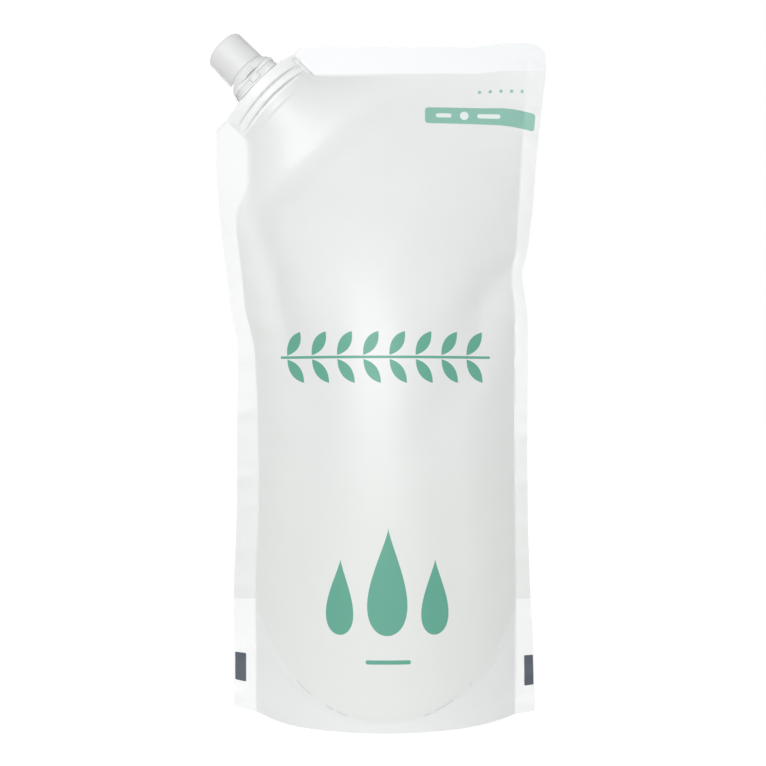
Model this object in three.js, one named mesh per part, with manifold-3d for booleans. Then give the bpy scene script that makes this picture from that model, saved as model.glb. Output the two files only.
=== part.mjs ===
// A stand-up refill pouch for shower gel, with a spout in its corner and a screw cap.
// Millimetres, +Z up, +X to the right of the printed face, which looks along -Y.
// The origin is on the surface that the pouch stands on, under the middle of its base.

import * as THREE from 'three';
import { mergeVertices } from 'three/addons/utils/BufferGeometryUtils.js';
import Module from 'manifold-3d';

const wasm = await Module();
wasm.setup();

// Driving dimensions: the laminate bag, filled and sealed
const bagHeight = 269; // base to the top edge
const bagWidth = 130; // the film laid flat, over both side seals
const seam = 0.5; // two layers welded together
const sideSeal = 8; // width of a side seal
const topSeal = 11; // width of the top seal
const waistHeight = 116; // where the filled bag is deepest
const waistDepth = 45.4; // front to back there
const baseDepth = 41; // front to back at the base
const shoulderDrop = 82; // the shoulder, below the top edge
const shoulderDepth = 35.6;
const collarDrop = 37; // where the bag closes towards its top seal, below the top edge
const collarDepth = 16;
const sectionSquareness = 2.05; // 2 is a plain lens, more is flatter in the middle
const sectionFullness = 0.95; // 1 is a plain lens, less is rounder beside the seals
const creaseStiffness = 2; // folds reach this many times further towards the seals than the bag's depth
const foldFloor = 0.4; // share of the depth that a fold always leaves
const sealSway = 1.6; // how far the side seals wave forward and back
const swayPeriod = 167; // height of one such wave
const swayPower = 3; // the wave dies out this fast towards the bag's middle
const swayFade = 40; // height over which it dies out below the cut corner

// Driving dimensions: the folded bottom that lets the bag stand
const gussetHeight = 42; // height of its fold in the side seals
const skirtHeight = 4.2; // height of the bottom seal in the middle
const skirtRadius = 59; // of the seal's curve towards the corners
const gussetRise = 5; // power of the base film's rise towards the corners
const skirtFold = 3; // power of its rise towards the front and back skirts
const padSink = 0.7; // how far the base film would bulge below the table
const hollowReach = 0.95; // share of the width, from the middle, where the skirts part
const leftCornerLift = 5.6;
const rightCornerLift = 3.2;
const liftStart = 30; // the bottom edge leaves the table this far from the middle
const liftPower = 1.7;

// Driving dimensions: the cut corner and the spout welded into it
const cutAcross = 33.4; // length taken off the top edge by the cut corner
const spoutLean = 44.5; // degrees of the spout's axis above the horizontal
const canoeLength = 36; // boat-shaped weld base of the spout
const canoeThickness = 14;
const canoeTip = 1; // thickness at its ends
const canoeHeight = 10.5;
const canoeInset = 1.6; // top of the weld base, inside the film's cut edge
const ribCount = 3; // weld ribs round the base
const ribDepth = 0.6;
const valleyWidth = 0.9; // floor of the groove between two ribs
const ribSlope = 0.6; // width of each rib's slope
const weldFilm = 0.45; // film over the weld base
const weldOverlap = 1.5; // the film's sleeve runs this far past the weld base
const fanStart = 11; // below the weld base, its bulge in the bag starts to fade
const fanEnd = 52; // and has gone
const fanTuck = 0.85; // share of the bulge beside the weld base, under its sleeve
const seatGap = 0.3; // clearance between pieces that touch

// Driving dimensions: collar and neck of the spout, measured from the film's cut edge
const flangeGap = 0.3;
const flangeWidth = 20.8;
const flangeDepth = 15.4;
const flangeCorner = 4.5;
const flangeThickness = 1.3;
const flangeSpacing = 1.4; // clear height between the two flanges
const lugWidth = 4.2; // arched lug between the flanges
const lugReach = 7.4; // from the spout's axis to the lug's face
const stemSink = 1; // the stem starts this far down in the weld base
const stemRadius = 6.9; // between the flanges
const neckRadius = 6.3;
const boreRadius = 4.8;
const neckHeight = 14.1; // above the upper flange
const neckChamfer = 0.5;
const beadRadius = 7.05; // keeps the tamper band down
const beadHeight = 0.9;

// Driving dimensions: tamper band and screw cap
const bandRadius = 8.7; // where it meets the cap
const bandFlare = 1.4; // wider by this much at its foot
const bandCollar = 0.5; // straight stretch above the flare
const bandFlareHeight = 1.6;
const bandWall = 1.15;
const bandHeight = 3.1;
const bandLip = 0.65; // how far its lip reaches in under the bead
const bandLipHeight = 1.2;
const bandLipSlope = 0.4; // its inner edge is this much lower
const capRadius = 8.65; // at the open end
const capDraft = 0.2; // smaller by this much at the closed end
const capWall = 1.15;
const capRoof = 1.3;
const capFillet = 2.2;
const linerThickness = 0.9;

// Fineness of the facets
const columnSteps = 26;
const rowSteps = 45;
const canoeSteps = 14;
const roundSteps = 40;
const filletSteps = 4;
const wallSteps = 3;
const filmSteps = 12;

// Places worked out from the driving dimensions
const halfWidth = bagWidth / 2;
const sealLine = bagHeight - topSeal;
const lean = THREE.MathUtils.degToRad(spoutLean);
const cutDown = cutAcross / Math.tan(lean); // length taken off the side edge
const spoutPlace = new THREE.Vector3(-halfWidth + cutAcross / 2, 0, bagHeight - cutDown / 2);
const spoutTurn = lean - Math.PI / 2;
const canoeTop = -canoeInset;
const canoeBottom = canoeTop - canoeHeight;
const lowerFlange = flangeGap;
const upperFlange = lowerFlange + flangeThickness + flangeSpacing;
const neckFoot = upperFlange + flangeThickness;
const neckTop = neckFoot + neckHeight;
const bandFoot = neckFoot + seatGap;
const beadFoot = bandFoot + bandLipHeight + seatGap;
const capFoot = bandFoot + bandHeight + seatGap;
const linerFoot = neckTop + seatGap;
const roofFoot = linerFoot + linerThickness + seatGap;
const capTop = roofFoot + capRoof;

// By height: how far each side edge has come in from the flat film, how much wider than its seal
// the flat strip beside that edge is, and half the depth
const between = (low, high, share) => low + (high - low) * share;
const notchDrop = 92; // the side edges pinch in most here, below the top edge
const notchFoot = notchDrop + 15;
const notchHalf = shoulderDepth / 2 + 1.6;
const neckDrop = 64; // the bag's upper end starts to close
const neckHalf = between(collarDepth, shoulderDepth, 0.63) / 2;
const stations = [
  { z: 0, left: 5.9, right: 4.0, leftFlat: 1.0, rightFlat: 0, half: baseDepth / 2 },
  { z: 26, left: 5.8, right: 4.4, leftFlat: 1.0, rightFlat: -0.6, half: baseDepth / 2 + 0.7 },
  { z: gussetHeight + 10, left: 5.8, right: 5.8, leftFlat: 0.8, rightFlat: -2.2, half: baseDepth / 2 + 1.3 },
  { z: 80, left: 7.0, right: 6.8, leftFlat: 0.8, rightFlat: -2.8, half: waistDepth / 2 - 0.3 },
  { z: waistHeight, left: 7.4, right: 7.2, leftFlat: 0.2, rightFlat: -2.8, half: waistDepth / 2 },
  {
    z: between(waistHeight, bagHeight - notchFoot, 0.7),
    left: 7.7,
    right: 7.0,
    leftFlat: -1.4,
    rightFlat: -2.7,
    half: waistDepth / 2 - 0.4,
  },
  { z: bagHeight - notchFoot, left: 5, right: 7.2, leftFlat: -1, rightFlat: -3, half: waistDepth / 2 - 1.5 },
  { z: bagHeight - notchDrop, left: 3, right: 9, leftFlat: -1.6, rightFlat: -3.6, half: notchHalf },
  {
    z: bagHeight - shoulderDrop,
    left: 1.6,
    right: 6.8,
    leftFlat: -1.4,
    rightFlat: -3.2,
    half: shoulderDepth / 2,
  },
  { z: bagHeight - neckDrop, left: 0.1, right: 4.6, leftFlat: 0.4, rightFlat: -2, half: neckHalf },
  { z: bagHeight - collarDrop, left: 0, right: 2.8, leftFlat: 4, rightFlat: -1.8, half: collarDepth / 2 },
  { z: sealLine, left: 0, right: 0.8, leftFlat: 2, rightFlat: -1.6, half: 0 },
  { z: bagHeight, left: 0, right: 0.8, leftFlat: 2, rightFlat: -1.6, half: 0 },
];
const stationCurve = new THREE.CubicInterpolant(
  stations.map((station) => station.z),
  stations.flatMap(({ left, right, leftFlat, rightFlat, half }) => [left, right, leftFlat, rightFlat, half]),
  5,
);

// Soft folds in the film: place, direction in degrees from +X, half length, half width and depth
const frontFolds = [
  { x: -50, z: 205, turn: -62, length: 24, width: 6, depth: 3.2 },
  { x: -40, z: 172, turn: -50, length: 26, width: 9, depth: 2.0 },
  { x: 45, z: 168, turn: 40, length: 22, width: 8, depth: 3.4 },
  { x: 34, z: 140, turn: 62, length: 30, width: 9, depth: 1.6 },
  { x: -30, z: 100, turn: 84, length: 60, width: 8, depth: 0.8 },
  { x: 26, z: 84, turn: 96, length: 52, width: 8, depth: 0.8 },
];
const backFolds = [
  { x: 46, z: 196, turn: -118, length: 26, width: 7, depth: 2.6 },
  { x: -44, z: 166, turn: 140, length: 24, width: 8, depth: 2.6 },
  { x: 24, z: 120, turn: 82, length: 54, width: 9, depth: 1.0 },
];

// Solids and geometries

function solidOf(geometry) {
  const bare = geometry.clone();
  bare.deleteAttribute('normal');
  bare.deleteAttribute('uv');
  const merged = mergeVertices(bare);
  return new wasm.Manifold(new wasm.Mesh({
    numProp: 3,
    vertProperties: new Float32Array(merged.attributes.position.array),
    triVerts: new Uint32Array(merged.index.array),
  }));
}

function geometryOf(solid) {
  const mesh = solid.getMesh();
  const geometry = new THREE.BufferGeometry();
  geometry.setAttribute('position', new THREE.BufferAttribute(mesh.vertProperties, 3));
  geometry.setIndex(new THREE.BufferAttribute(mesh.triVerts, 1));
  geometry.computeVertexNormals();
  return geometry;
}

// Joins the first solid to the others, or cuts the others out of it
const joined = (first, ...others) => others.reduce((solid, other) => solid.add(other), first);
const cut = (first, ...others) => others.reduce((solid, other) => solid.subtract(other), first);

// A skin of points and faces, whose faces turn anticlockwise seen from outside
class Skin {
  points = [];

  index = [];

  add(point) {
    this.points.push(point.x, point.y, point.z);
    return this.points.length / 3 - 1;
  }

  // A face whose corners meet is left out
  face(a, b, c) {
    if (a !== b && b !== c && c !== a) this.index.push(a, b, c);
  }

  // Two rows of points, joined by a band of faces
  band(low, high) {
    for (let k = 0; k + 1 < low.length; k += 1) {
      this.face(low[k], low[k + 1], high[k + 1]);
      this.face(low[k], high[k + 1], high[k]);
    }
  }

  geometry() {
    const geometry = new THREE.BufferGeometry();
    geometry.setAttribute('position', new THREE.Float32BufferAttribute(this.points, 3));
    geometry.setIndex(this.index);
    return geometry;
  }
}

// Skins a row of rings. A ring has a front row and a back row of points, both from left to right.
// The top is closed by a strip between its two rows, and so is the foot unless it is left open.
function loft(rings, footOpen = false) {
  const skin = new Skin();
  const fronts = rings.map((ring) => ring.front.map((point) => skin.add(point)));
  const backs = rings.map((ring) => ring.back.map((point) => skin.add(point)));
  for (let k = 0; k + 1 < rings.length; k += 1) {
    const around = (level) => [...fronts[level], ...[...backs[level]].reverse(), fronts[level][0]];
    skin.band(around(k), around(k + 1));
  }
  skin.band(fronts.at(-1), backs.at(-1));
  if (!footOpen) skin.band(backs[0], fronts[0]);
  return { skin, front: fronts[0], back: backs[0] };
}

// A profile of [radius, height] points, turned about the Z axis. It starts and ends on the
// axis, or closes on itself.
function turned(profile) {
  const points = profile.map(([radius, height]) => new THREE.Vector2(radius, height));
  const onAxis = profile[0][0] === 0;
  const geometry = new THREE.LatheGeometry(onAxis ? points : [...points, points[0]], roundSteps);
  return geometry.rotateX(Math.PI / 2);
}

// An outline in X and Y, from one height to another
function plate(shape, from, to) {
  const geometry = new THREE.ExtrudeGeometry(shape, {
    depth: to - from,
    bevelEnabled: false,
    curveSegments: filletSteps,
  });
  return geometry.translate(0, 0, from);
}

const smooth = (low, high, value) => THREE.MathUtils.smoothstep(value, low, high);

// Steps from -1 to 1 that crowd towards both ends
const crowded = (steps) => Array.from(
  { length: steps + 1 },
  (_, k) => -Math.cos((Math.PI * k) / steps),
);

// The bag

// Where a point of the bag's plane lies along the cut corner and out through it
function fromSpout(x, z) {
  const dx = x - spoutPlace.x;
  const dz = z - spoutPlace.z;
  return {
    along: dx * Math.sin(lean) + dz * Math.cos(lean),
    out: -dx * Math.cos(lean) + dz * Math.sin(lean),
  };
}

// The bag's level edges at a height: outer edges, and the middle and half width between its creases
function edgesAt(z) {
  const [left, right, leftFlat, rightFlat, half] = stationCurve.evaluate(z);
  const outerLeft = -halfWidth + left;
  const outerRight = halfWidth - right;
  const innerLeft = outerLeft + sideSeal + leftFlat;
  const innerRight = outerRight - sideSeal - rightFlat;
  return {
    outerLeft,
    outerRight,
    middle: (innerLeft + innerRight) / 2,
    reach: (innerRight - innerLeft) / 2,
    half: Math.max(half, 0),
  };
}

function foldDepth(folds, x, z) {
  return folds.reduce((sum, fold) => {
    const turn = THREE.MathUtils.degToRad(fold.turn);
    const along = (x - fold.x) * Math.cos(turn) + (z - fold.z) * Math.sin(turn);
    const across = -(x - fold.x) * Math.sin(turn) + (z - fold.z) * Math.cos(turn);
    return sum + fold.depth * Math.exp(-((along / fold.length) ** 2) - (across / fold.width) ** 2);
  }, 0);
}

// Half the bag's depth inside its seals, at a share across (-1 to 1) and a height
function swell(share, z, folds) {
  const { middle, reach, half } = edgesAt(z);
  const x = middle + reach * share;
  const section = (1 - Math.abs(share) ** sectionSquareness) ** sectionFullness;
  const { along, out } = fromSpout(x, z);
  const depthBelow = Math.max(canoeBottom - out, 0);
  const opened = smooth(0, cutAcross, depthBelow);
  const body = half * section * opened;
  const fanHalf = canoeThickness / 2 + seatGap;
  const fanReach = canoeLength / 2 + seatGap + weldFilm + depthBelow;
  const fade = 1 - smooth(fanStart, fanEnd, depthBelow);
  const fan = fanHalf * Math.max(1 - (along / fanReach) ** 2, 0) * fade;
  const nearSeam = Math.min(1, section * creaseStiffness);
  const inCorner = out > canoeBottom ? fanTuck : nearSeam;
  const folded = foldDepth(folds, x, z) * nearSeam * opened;
  return Math.max(body - folded, body * foldFloor, fan * inCorner);
}

// How far the seals wave out of the bag's plane
function sway(x, z) {
  const sideways = Math.abs(x / halfWidth) ** swayPower;
  const wave = Math.sin((2 * Math.PI * z) / swayPeriod);
  const held = 1 - smooth(bagHeight - cutDown - swayFade, bagHeight - cutDown, z);
  return sealSway * sideways * wave * held;
}

// The bottom edge lifts off the table towards the corners
function lift(x, z) {
  const most = x < 0 ? leftCornerLift : rightCornerLift;
  const beyond = Math.max(Math.abs(x) - liftStart, 0) / (halfWidth - liftStart);
  return most * beyond ** liftPower * (1 - smooth(0, gussetHeight, z));
}

function bagRing(z) {
  const { outerLeft, outerRight, middle, reach } = edgesAt(z);
  const shares = crowded(columnSteps);
  const side = (sign, folds) => {
    const row = [{ x: outerLeft, half: 0 }];
    shares.forEach((share) => row.push({ x: middle + reach * share, half: swell(share, z, folds) }));
    row.push({ x: outerRight, half: 0 });
    return row.map(({ x, half }) => new THREE.Vector3(
      x,
      sign * (half + seam / 2) + sway(x, z),
      z + lift(x, z),
    ));
  };
  return { front: side(-1, frontFolds), back: side(1, backFolds) };
}

// A line of points under the bag at a share across: up the inside of the front skirt, over the
// folded base film and down the inside of the back skirt
function underside(share) {
  const across = Math.abs(share) * (halfWidth - sideSeal);
  const rise = skirtRadius - Math.sqrt(Math.max(skirtRadius ** 2 - across ** 2, 0));
  const sealHeight = Math.min(skirtHeight + rise, gussetHeight);
  const filmHeight = -padSink + (gussetHeight + padSink) * Math.abs(share) ** gussetRise;
  const inside = (sign, folds, z) => {
    const { middle, reach } = edgesAt(z);
    const x = middle + reach * share;
    return new THREE.Vector3(x, sign * (swell(share, z, folds) - seam / 2) + sway(x, z), z + lift(x, z));
  };
  const climb = Array.from({ length: wallSteps + 1 }, (_, k) => (sealHeight * k) / wallSteps);
  const front = climb.map((z) => inside(-1, frontFolds, z));
  const back = climb.map((z) => inside(1, backFolds, z));
  const film = crowded(filmSteps).slice(1, -1).map((span) => {
    const point = front.at(-1).clone().lerp(back.at(-1), (span + 1) / 2);
    const height = filmHeight + (sealHeight - filmHeight) * Math.abs(span) ** skirtFold;
    point.z = Math.max(height, 0) + lift(point.x, height);
    return point;
  });
  return [...front, ...film, ...back.reverse()];
}

// The bag's skin, closed below by the folded base film
function bagBody() {
  const rows = Array.from({ length: rowSteps + 1 }, (_, k) => (sealLine * k) / rowSteps);
  const { skin, front, back } = loft([...rows, bagHeight].map(bagRing), true);
  const shares = [null, ...crowded(columnSteps), null];
  const lines = shares.map((share, k) => {
    const hollow = share !== null && Math.abs(share) < hollowReach;
    const inner = hollow ? underside(share).map((point) => skin.add(point)) : [];
    return [front[k], ...inner, back[k]];
  });
  const length = Math.max(...lines.map((line) => line.length));
  const filled = lines.map(([first, ...rest]) => {
    if (rest.length > 1) return [first, ...rest];
    return Array.from({ length }, (_, k) => (k < length / 2 ? first : rest[0]));
  });
  for (let k = 0; k + 1 < filled.length; k += 1) skin.band(filled[k], filled[k + 1]);
  return skin.geometry();
}

// The spout, in its own frame: +Z out along its axis, X along the cut corner

// One level of the weld base, grown outwards by a clearance or a film
function canoeRing(height, grown, ribbed) {
  const tip = canoeTip / 2;
  const shares = crowded(canoeSteps);
  const inset = ribbed ? 0 : ribDepth;
  const side = (sign) => shares.map((share) => {
    const half = tip + (canoeThickness / 2 - tip) * (1 - share ** 2) - inset * (1 - share ** 2);
    return new THREE.Vector3(share * (canoeLength / 2 + grown), sign * (half + grown), height);
  });
  return { front: side(-1), back: side(1) };
}

// The weld base from end to end, its ribs a loft of levels that step in and out
function canoe(grown, from, to) {
  const pitch = canoeHeight / ribCount;
  const levels = [{ height: from, ribbed: true }];
  for (let rib = 0; rib < ribCount; rib += 1) {
    const foot = canoeBottom + rib * pitch;
    const rise = valleyWidth / 2 + ribSlope;
    if (rib > 0) {
      levels.push({ height: foot - valleyWidth / 2, ribbed: false });
      levels.push({ height: foot + valleyWidth / 2, ribbed: false });
    }
    levels.push({ height: foot + rise, ribbed: true });
    levels.push({ height: foot + pitch - rise, ribbed: true });
  }
  levels.push({ height: to, ribbed: true });
  return loft(levels.map((level) => canoeRing(level.height, grown, level.ribbed))).skin.geometry();
}

// From the spout's frame to the bag's
const spoutMatrix = new THREE.Matrix4()
  .makeRotationY(spoutTurn)
  .setPosition(spoutPlace);

function pouch() {
  const reachOut = cutAcross + cutDown;
  const corner = new THREE.BoxGeometry(2 * reachOut, bagWidth, reachOut)
    .translate(0, 0, reachOut / 2)
    .applyMatrix4(spoutMatrix);
  const room = new THREE.BoxGeometry(canoeLength - 2 * weldOverlap, bagWidth, reachOut)
    .translate(0, 0, reachOut / 2 + canoeBottom)
    .applyMatrix4(spoutMatrix);
  const sleeve = canoe(seatGap + weldFilm, canoeBottom - seatGap - weldOverlap, weldOverlap)
    .applyMatrix4(spoutMatrix);
  const seat = canoe(seatGap, canoeBottom - seatGap, weldOverlap * 2).applyMatrix4(spoutMatrix);
  const open = cut(solidOf(bagBody()), solidOf(room));
  const whole = joined(open, solidOf(sleeve));
  return geometryOf(cut(whole, solidOf(corner), solidOf(seat)));
}

function flange(height) {
  const x = flangeWidth / 2;
  const y = flangeDepth / 2;
  const shape = new THREE.Shape();
  shape.moveTo(-x + flangeCorner, -y);
  shape.absarc(x - flangeCorner, -y + flangeCorner, flangeCorner, -Math.PI / 2, 0);
  shape.absarc(x - flangeCorner, y - flangeCorner, flangeCorner, 0, Math.PI / 2);
  shape.absarc(-x + flangeCorner, y - flangeCorner, flangeCorner, Math.PI / 2, Math.PI);
  shape.absarc(-x + flangeCorner, -y + flangeCorner, flangeCorner, Math.PI, Math.PI * 1.5);
  return plate(shape, height, height + flangeThickness);
}

// An arch that stands on the lower flange, front and back
function lugs() {
  const half = lugWidth / 2;
  const foot = lowerFlange + flangeThickness / 2;
  const crown = upperFlange + flangeThickness / 2;
  const shape = new THREE.Shape();
  shape.moveTo(half, foot);
  shape.lineTo(half, crown - half);
  shape.absarc(0, crown - half, half, 0, Math.PI);
  shape.lineTo(-half, foot);
  const geometry = new THREE.ExtrudeGeometry(shape, {
    depth: 2 * lugReach,
    bevelEnabled: false,
    curveSegments: filletSteps * 2,
  });
  return geometry.rotateX(Math.PI / 2).translate(0, lugReach, 0);
}

function spout() {
  const stem = turned([
    [0, canoeTop - stemSink],
    [stemRadius, canoeTop - stemSink],
    [stemRadius, neckFoot - flangeThickness / 2],
    [neckRadius, neckFoot - flangeThickness / 2],
    [neckRadius, beadFoot],
    [beadRadius, beadFoot],
    [beadRadius, beadFoot + beadHeight / 2],
    [neckRadius, beadFoot + beadHeight],
    [neckRadius, neckTop - neckChamfer],
    [neckRadius - neckChamfer, neckTop],
    [0, neckTop],
  ]);
  const bore = new THREE.CylinderGeometry(boreRadius, boreRadius, 2 * (neckTop - canoeBottom), roundSteps)
    .rotateX(Math.PI / 2);
  const base = canoe(0, canoeBottom, canoeTop);
  const parts = [stem, flange(lowerFlange), flange(upperFlange), lugs()];
  const whole = joined(solidOf(base), ...parts.map(solidOf));
  return geometryOf(cut(whole, solidOf(bore)));
}

function tamperBand() {
  const inner = bandRadius - bandWall;
  const top = bandFoot + bandHeight;
  const flareTop = top - bandCollar;
  return turned([
    [inner - bandLip, bandFoot],
    [bandRadius + bandFlare, bandFoot],
    [bandRadius + bandFlare, flareTop - bandFlareHeight],
    [bandRadius, flareTop],
    [bandRadius, top],
    [inner, top],
    [inner, bandFoot + bandLipHeight],
    [inner - bandLip, bandFoot + bandLipHeight - bandLipSlope],
  ]);
}

function cap() {
  const inner = capRadius - capWall;
  const outerTop = capRadius - capDraft;
  const profile = [[0, roofFoot], [inner, roofFoot], [inner, capFoot], [capRadius, capFoot]];
  for (let step = 0; step <= filletSteps; step += 1) {
    const angle = (step / filletSteps) * (Math.PI / 2);
    profile.push([
      outerTop - capFillet + capFillet * Math.cos(angle),
      capTop - capFillet + capFillet * Math.sin(angle),
    ]);
  }
  profile.push([0, capTop]);
  return turned(profile);
}

function capLiner() {
  const radius = capRadius - capWall - seatGap;
  return new THREE.CylinderGeometry(radius, radius, linerThickness, roundSteps)
    .rotateX(Math.PI / 2)
    .translate(0, 0, linerFoot + linerThickness / 2);
}

// Materials and the scene graph

const pearlFilm = new THREE.MeshStandardMaterial({ color: 0xe9eceb, roughness: 0.42, metalness: 0 });
const naturalPlastic = new THREE.MeshStandardMaterial({ color: 0xd3d7d6, roughness: 0.5, metalness: 0 });
const foam = new THREE.MeshStandardMaterial({ color: 0xf2f2ee, roughness: 0.8, metalness: 0 });

function piece(name, geometry, material) {
  const mesh = new THREE.Mesh(geometry, material);
  mesh.name = name;
  return mesh;
}

const spoutGroup = new THREE.Group();
spoutGroup.position.copy(spoutPlace);
spoutGroup.rotation.y = spoutTurn;
spoutGroup.add(
  piece('spout', spout(), naturalPlastic),
  piece('tamper_band', tamperBand(), naturalPlastic),
  piece('cap', cap(), naturalPlastic),
  piece('cap_liner', capLiner(), foam),
);

const group = new THREE.Group();
group.add(piece('pouch', pouch(), pearlFilm), spoutGroup);

export default group;
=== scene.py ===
"""Looks of the refill pouch: its filled film with plain print, and its spout, tamper band and screw cap.

Metres in Blender, +Z up, the printed face towards -Y. The film is worked out in millimetres.
"""

import math

import bpy
import numpy as np
from mathutils import Matrix, Vector


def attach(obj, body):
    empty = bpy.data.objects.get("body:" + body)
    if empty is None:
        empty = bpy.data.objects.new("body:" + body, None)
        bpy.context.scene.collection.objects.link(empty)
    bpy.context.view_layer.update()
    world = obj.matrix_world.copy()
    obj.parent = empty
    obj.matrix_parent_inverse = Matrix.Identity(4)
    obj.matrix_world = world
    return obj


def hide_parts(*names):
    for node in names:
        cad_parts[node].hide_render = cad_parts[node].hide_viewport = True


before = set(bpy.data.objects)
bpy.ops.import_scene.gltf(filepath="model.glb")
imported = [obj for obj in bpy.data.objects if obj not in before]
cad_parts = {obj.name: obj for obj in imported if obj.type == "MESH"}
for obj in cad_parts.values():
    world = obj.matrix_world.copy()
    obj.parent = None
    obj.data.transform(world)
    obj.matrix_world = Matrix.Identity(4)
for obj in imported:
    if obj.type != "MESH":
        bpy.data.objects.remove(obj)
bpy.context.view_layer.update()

MM = 0.001

# The bag, in millimetres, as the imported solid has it
BAG_HEIGHT = 269.0
HALF_WIDTH = 65.0
SEAM = 0.5
SIDE_SEAL = 8.0
TOP_SEAL = 11.0
SEAL_LINE = BAG_HEIGHT - TOP_SEAL
FLAT_HALF = HALF_WIDTH - SIDE_SEAL
SECTION_SQUARENESS = 2.05
SECTION_FULLNESS = 0.95
SEAL_SWAY = 1.6
SWAY_PERIOD = 167.0
SWAY_FADE = 40.0
SWAY_POWER = 3
LEAST_BODY = 0.4
LEAST_HALF = 0.02
RIPPLE_DEPTH = 0.16
RIPPLE_AT = 4

# The folded bottom
GUSSET_HEIGHT = 42.0
SKIRT_HEIGHT = 4.2
SKIRT_RADIUS = 59.0
GUSSET_RISE = 5.0
PAD_SINK = 0.7
HOLLOW_REACH = 0.95
CORNER_LIFTS = (6.8, 3.5)
LIFT_START = 30.0
LIFT_POWER = 1.7
SEAL_PRESS = 0.55
PRESS_FROM, PRESS_TO = -0.6, 2.0

# The cut corner, and the weld base of the spout inside it
CUT_ACROSS = 33.4
LEAN = math.radians(44.5)
CUT_DOWN = CUT_ACROSS / math.tan(LEAN)
CUT_FOOT = BAG_HEIGHT - CUT_DOWN
SPOUT_X = -HALF_WIDTH + CUT_ACROSS / 2
SPOUT_Z = BAG_HEIGHT - CUT_DOWN / 2
CANOE_HALF = 7.0
CANOE_REACH = 18.0
CANOE_BOTTOM = -12.1
WELD_FILM = 0.75
WELD_WALL = 0.45
POCKET_DEPTH = 2.2
RIB_VALLEYS = (-4.35, -7.8)
RIB_BOW = 0.65
RIB_DEPTH = 0.8
RIB_WIDTH = 0.36
RIDGE_HEIGHT = 0.22
RIDGE_BELOW = 1.5
RIDGE_WIDTH = 0.9
END_CREASE = 0.42
END_INSET = 0.9
END_WIDTH = 0.75
WELD_LINE = -9.4
FAN_START = 11.0
FAN_END = 52.0
FAN_BLEND = 0.22
FAN_STEP = 0.5
FAN_STEP_OVER = 1.2

# By height: how far the left and right edges have come in from the flat film, how far the
# left and right creases lie from those edges, and half the depth
STATIONS = np.array([
    (0, 5.9, 4.0, 9.0, 8.0, 20.5),
    (26, 5.8, 4.4, 9.0, 7.4, 21.2),
    (52, 5.8, 5.8, 8.8, 5.8, 21.8),
    (80, 7.0, 6.8, 8.8, 5.2, 22.4),
    (116, 7.4, 7.2, 8.2, 5.2, 22.7),
    (148, 7.7, 7.0, 6.4, 5.3, 22.3),
    (162, 5.0, 7.2, 5.8, 5.0, 21.2),
    (177, 3.0, 9.0, 6.2, 4.4, 19.4),
    (187, 1.6, 6.8, 6.3, 4.8, 17.8),
    (196, 0.7, 5.7, 6.2, 5.4, 16.1),
    (203, -0.2, 4.8, 7.6, 5.9, 14.6),
    (210, -0.7, 4.3, 11.3, 6.0, 13.2),
    (217, -1.0, 3.8, 14.0, 6.1, 11.8),
    (232, -1.2, 2.6, 14.8, 6.4, 8.0),
    (258, -0.4, -0.3, 10.4, 7.5, 0.0),
    (269, 0.0, -0.2, 10.0, 7.4, 0.0),
])

# The top edge dips between its two ends, and is rounded off at the right one
TOP_DIP = 1.5
DIP_LEFT = (-44, -30)
DIP_RIGHT = (36.0, 50.0)
DIP_FOOT = 232
CORNER_FROM = 59.5
CORNER_FALL = 0.13

# Soft folds: x, z, direction in degrees, half length, half width, depth
FRONT_FOLDS = (
    (-52, 198, -68, 28, 6, 2.6),
    (-42, 164, -72, 28, 8, 2.6),
    (45, 168, 40, 22, 8, 3.4),
    (34, 140, 62, 30, 9, 1.6),
    (-30, 100, 84, 60, 8, 0.8),
    (26, 84, 96, 52, 8, 0.8),
)
BACK_FOLDS = (
    (46, 196, -118, 26, 7, 2.6),
    (-44, 166, 140, 24, 8, 2.6),
    (24, 120, 82, 54, 9, 1.0),
)


# Film surface

def smooth(low, high, value):
    t = np.clip((value - low) / (high - low), 0.0, 1.0)
    return t * t * (3 - 2 * t)


def spline(column, z):
    """A station's value at heights z, on a curve whose slope at a station follows its neighbours."""
    heights = STATIONS[:, 0]
    values = STATIONS[:, column]
    slopes = np.gradient(values, heights)
    slopes[1:-1] = (values[2:] - values[:-2]) / (heights[2:] - heights[:-2])
    k = np.clip(np.searchsorted(heights, z, side="right") - 1, 0, len(heights) - 2)
    span = heights[k + 1] - heights[k]
    t = (z - heights[k]) / span
    start = (1 + 2 * t) * (1 - t) ** 2 * values[k] + t * (1 - t) ** 2 * span * slopes[k]
    end = t * t * (3 - 2 * t) * values[k + 1] - t * t * (1 - t) * span * slopes[k + 1]
    return start + end


class Edges:
    """The bag's level edges at heights z: outer edges and creases, their middle and half width."""

    def __init__(self, z):
        self.outer_left = -HALF_WIDTH + spline(1, z)
        self.outer_right = HALF_WIDTH - spline(2, z)
        self.inner_left = self.outer_left + spline(3, z)
        self.inner_right = self.outer_right - spline(4, z)
        self.middle = (self.inner_left + self.inner_right) / 2
        self.reach = (self.inner_right - self.inner_left) / 2
        self.half = np.maximum(spline(5, z), 0)


def from_spout(x, z):
    dx = x - SPOUT_X
    dz = z - SPOUT_Z
    along = dx * math.sin(LEAN) + dz * math.cos(LEAN)
    out = -dx * math.cos(LEAN) + dz * math.sin(LEAN)
    return along, out


def fold_depth(folds, x, z):
    total = np.zeros_like(x)
    for fold_x, fold_z, turn, length, width, depth in folds:
        angle = math.radians(turn)
        along = (x - fold_x) * math.cos(angle) + (z - fold_z) * math.sin(angle)
        across = -(x - fold_x) * math.sin(angle) + (z - fold_z) * math.cos(angle)
        total += depth * np.exp(-((along / length) ** 2) - (across / width) ** 2)
    return total


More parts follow.
